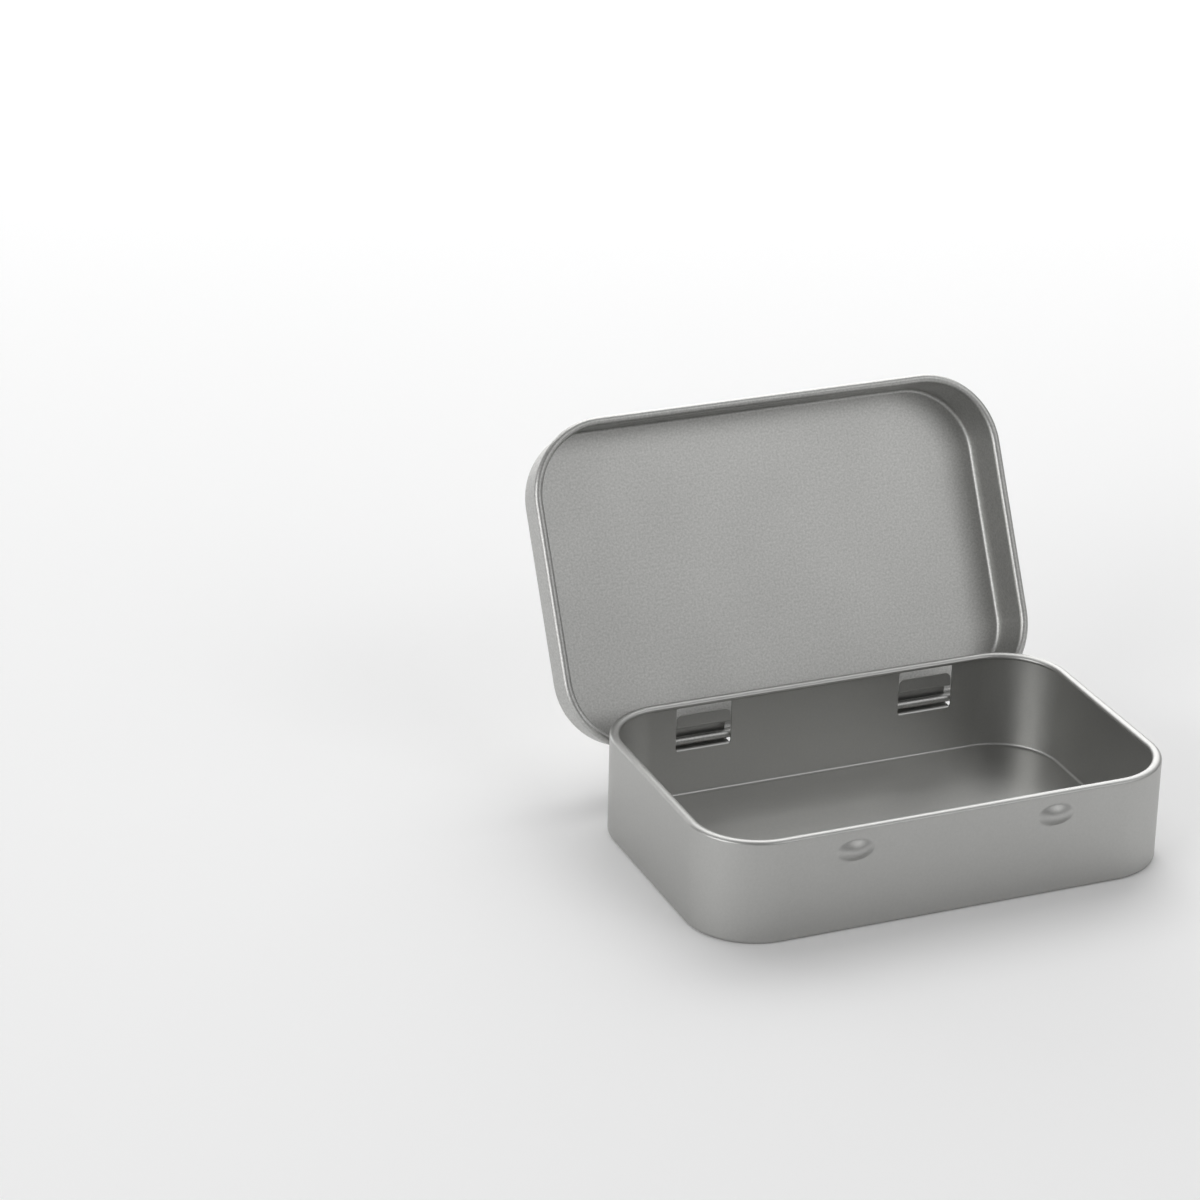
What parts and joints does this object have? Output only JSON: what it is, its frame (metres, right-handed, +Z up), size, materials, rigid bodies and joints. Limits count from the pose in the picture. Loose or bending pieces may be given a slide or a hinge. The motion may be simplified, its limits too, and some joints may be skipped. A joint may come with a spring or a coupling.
{
  "type": "hinged tin box",
  "caption": "Small rectangular pressed tin with round corners and rolled edges, and a cover that swings on two sheet hooks and snaps shut over the tray.",
  "frame": {"origin": "middle of the tray's flat underside, on the surface that the tin stands on", "axes": "+X along the tin, +Y from the front with the snap bumps to the back with the hinges, +Z up; the cover stands open at the back"},
  "size_m": [0.0952, 0.0954, 0.0652],
  "materials": {
    "tray_tinplate": "satin",
    "lid_tinplate": "satin"
  },
  "bodies": {
    "base": {"base_tray": "tray_tinplate"},
    "lid": {"lid_cover": "lid_tinplate"}
  },
  "joints": [
    {"name": "lid_hinge", "type": "hinge", "parent": "base", "child": "lid", "pos_m": [0, 0.03, 0.0107], "axis": [1, 0, 0], "range_deg": [0, 117.3]}
  ]
}
